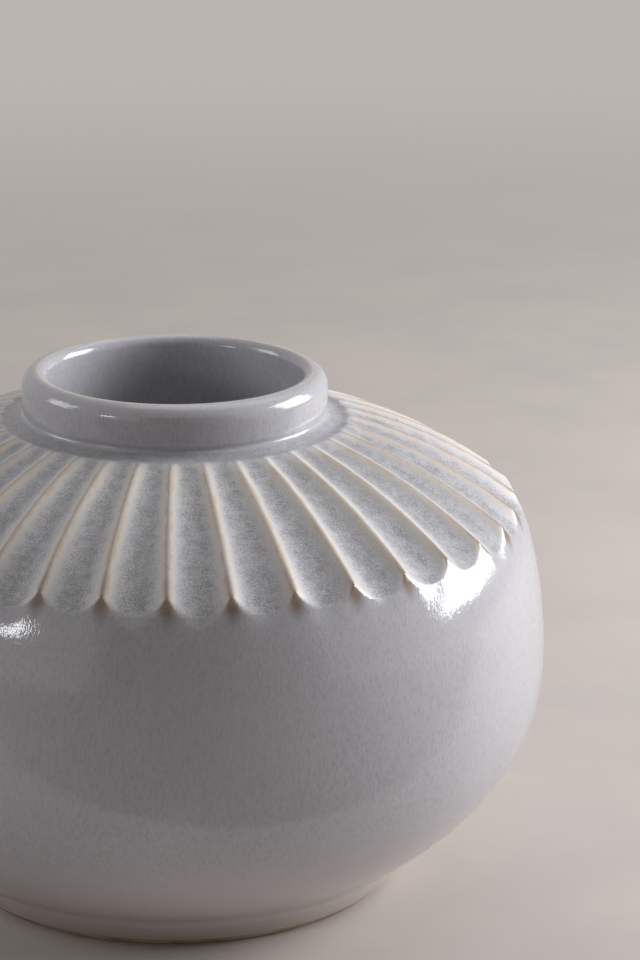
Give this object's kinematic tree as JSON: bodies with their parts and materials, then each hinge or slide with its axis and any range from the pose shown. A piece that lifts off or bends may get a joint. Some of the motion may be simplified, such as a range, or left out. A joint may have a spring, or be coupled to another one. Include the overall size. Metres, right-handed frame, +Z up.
{
  "type": "fluted vase",
  "caption": "Squat round stoneware vase with a short collar neck, a fan of carved flutes over the shoulder, a crackle glaze and a low foot ring.",
  "frame": {"origin": "centre of the foot ring's underside, on the surface that the vase stands on", "axes": "+Z up along the axis that the vase is turned about; X and Y are level, and one flute's middle lies on +X"},
  "size_m": [0.2, 0.2, 0.14],
  "materials": {
    "stoneware": "bare fired stoneware, matt",
    "slip": "fired joining slip, matt",
    "lining_glaze": "gloss glaze",
    "crackle_glaze": "satin gloss crackle glaze, cream and brown where it runs thin over the ridges"
  },
  "bodies": {
    "root": {"foot_ring": "stoneware", "lower_bowl": "stoneware", "shoulder_dome": "stoneware", "neck_collar": "stoneware", "foot_slip": "slip", "belly_slip": "slip", "collar_slip": "slip", "lining_glaze": "lining_glaze", "outer_glaze": "crackle_glaze"}
  },
  "joints": []
}
